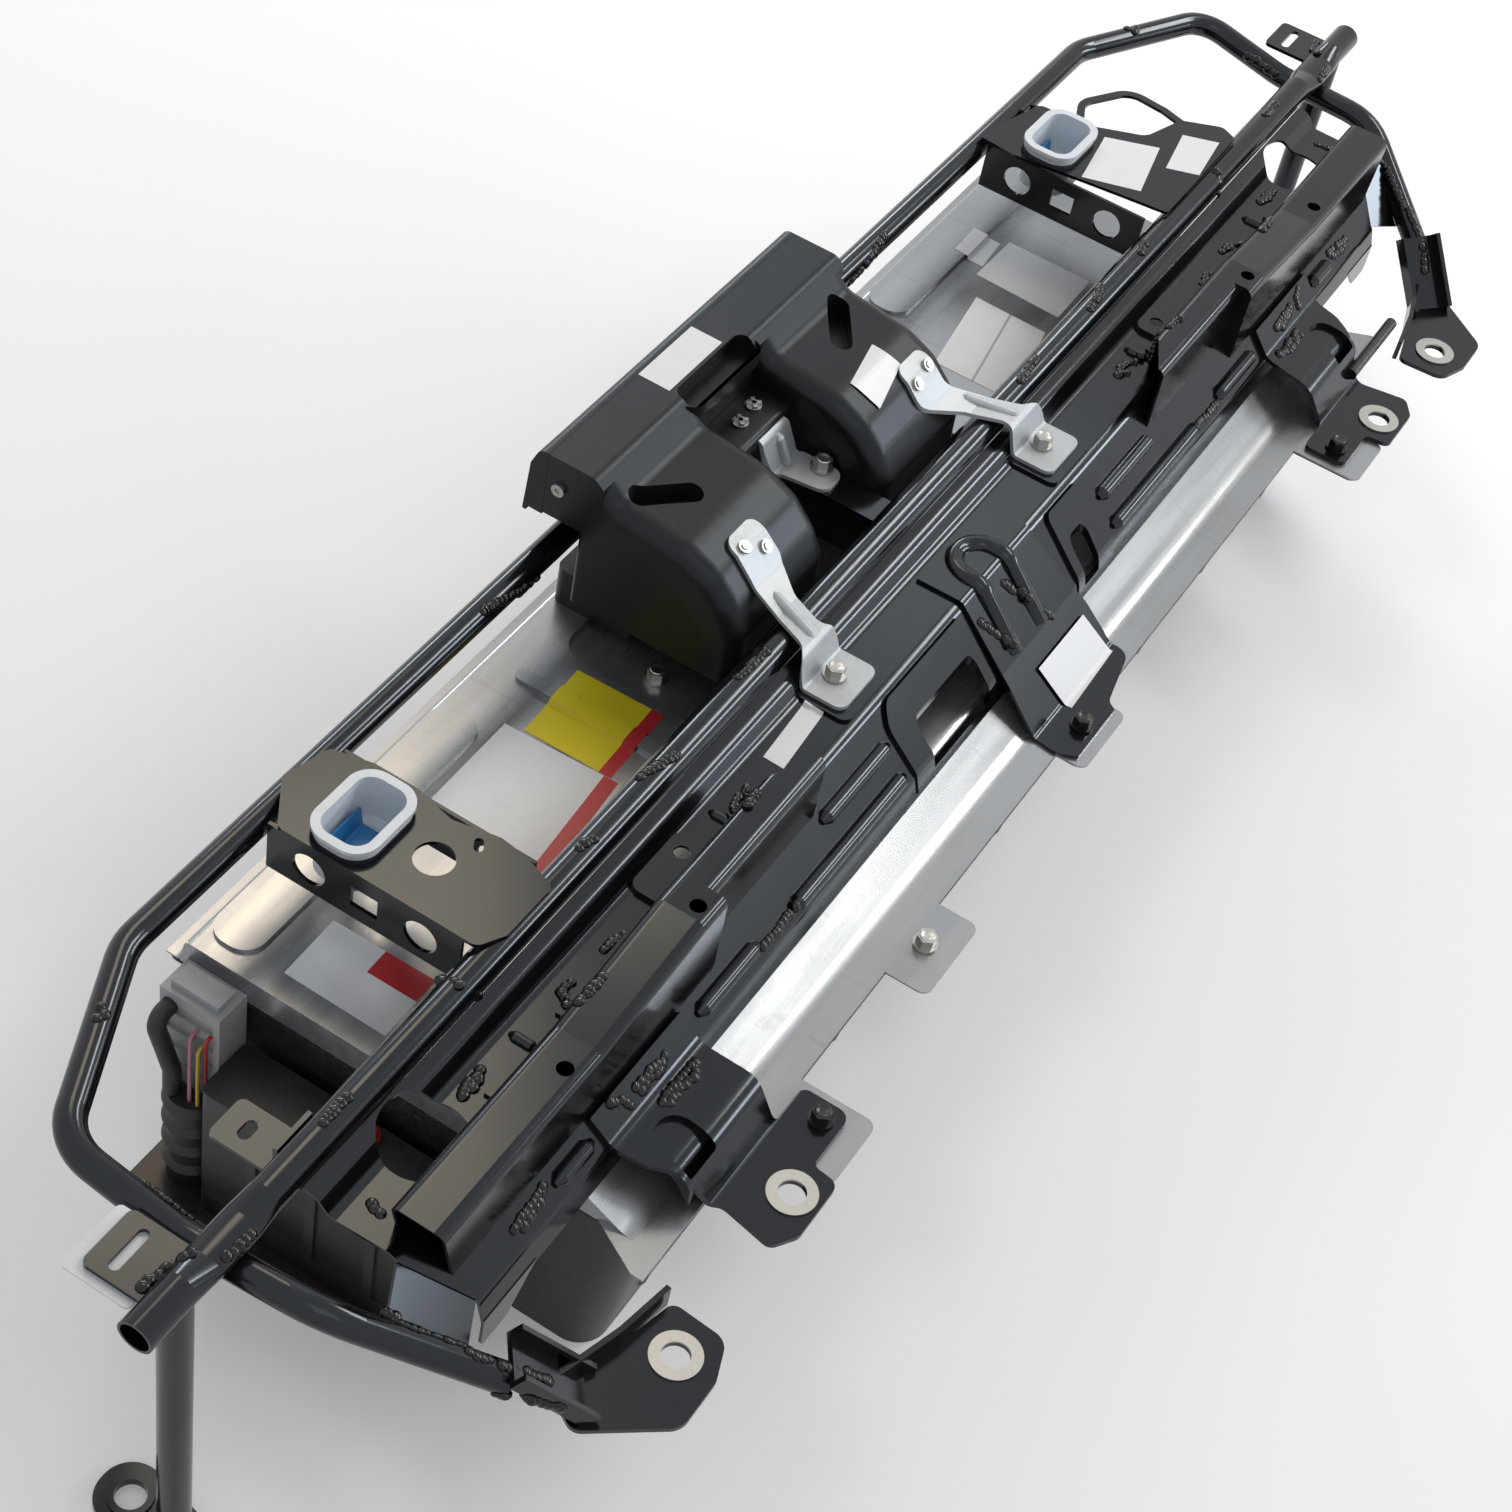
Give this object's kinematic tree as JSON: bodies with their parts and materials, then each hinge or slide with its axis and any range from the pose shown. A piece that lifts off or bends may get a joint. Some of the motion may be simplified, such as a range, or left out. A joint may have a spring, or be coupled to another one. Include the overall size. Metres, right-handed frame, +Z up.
{
  "type": "high-voltage battery pack",
  "caption": "Flat high-voltage battery box hung under a welded tube seat frame, with a moulded cooling duct, cushion sockets, bolt feet and a signal connector.",
  "frame": {"origin": "centre of the whole part in plan, at the height of the tray's underside that stands on the floor", "axes": "+X along the frame towards the plain end, away from the signal connector; +Y to the rear, where the duct and the rear tube are; +Z up"},
  "size_m": [1.34, 0.36, 0.282],
  "materials": {
    "frame_paint": "glossy black dip coat",
    "bright_cover": "satin sheet with light wear",
    "tray_paint": "dull dark coat",
    "seal_foam": "matt foam",
    "duct_plastic": "satin moulded",
    "strap_paint": "light grey, satin",
    "zinc_steel": "zinc plated",
    "socket_white": "milky moulded",
    "clip_blue": "satin",
    "connector_grey": "matt moulded",
    "boot_rubber": "matt",
    "wire_jackets": "satin, one colour for each wire",
    "case_plastic": "matt moulded",
    "cell_plastic": "matt moulded",
    "plate_aluminium": "mill finish",
    "bus_metal": "bare copper"
  },
  "bodies": {
    "root": {"battery_controller": "plate_aluminium", "battery_cover": "bright_cover", "battery_tray": "tray_paint", "bridge_clips": "zinc_steel", "bus_bars": "bus_metal", "cable_boot": "boot_rubber", "centre_bracket": "frame_paint", "centre_tube": "frame_paint", "cover_bolts": "zinc_steel", "cover_seal": "seal_foam", "duct_bridge": "duct_plastic", "duct_housing": "duct_plastic", "duct_rear_strip": "duct_plastic", "duct_screws": "zinc_steel", "end_box": "case_plastic", "foot_bolts": "zinc_steel", "foot_rings": "zinc_steel", "front_member": "frame_paint", "left_cell_module": "cell_plastic", "left_corner_foot": "frame_paint", "left_cup_bracket": "frame_paint", "left_cushion_socket": "socket_white", "left_duct_chute": "duct_plastic", "left_duct_strap": "strap_paint", "left_eye_plate": "frame_paint", "left_gusset": "frame_paint", "left_leg": "frame_paint", "left_mid_foot": "frame_paint", "left_rail": "frame_paint", "left_slot_plate": "frame_paint", "left_socket_clip": "clip_blue", "locator_pin": "zinc_steel", "loop_tube": "frame_paint", "mid_duct_strap": "strap_paint", "module_end_plates": "plate_aluminium", "relay_box": "case_plastic", "right_cell_module": "cell_plastic", "right_corner_foot": "frame_paint", "right_cup_bracket": "frame_paint", "right_cushion_socket": "socket_white", "right_duct_chute": "duct_plastic", "right_duct_strap": "strap_paint", "right_eye_plate": "frame_paint", "right_gusset": "frame_paint", "right_leg": "frame_paint", "right_mid_foot": "frame_paint", "right_rail": "frame_paint", "right_slot_plate": "frame_paint", "right_socket_clip": "clip_blue", "service_cap": "case_plastic", "signal_connector": "connector_grey", "signal_wires": "wire_jackets", "slot_tab": "frame_paint", "strap_bolts": "zinc_steel", "strap_rivets": "zinc_steel", "strap_shelf": "frame_paint", "tray_bolt": "zinc_steel", "wire_loom": "boot_rubber"}
  },
  "joints": []
}
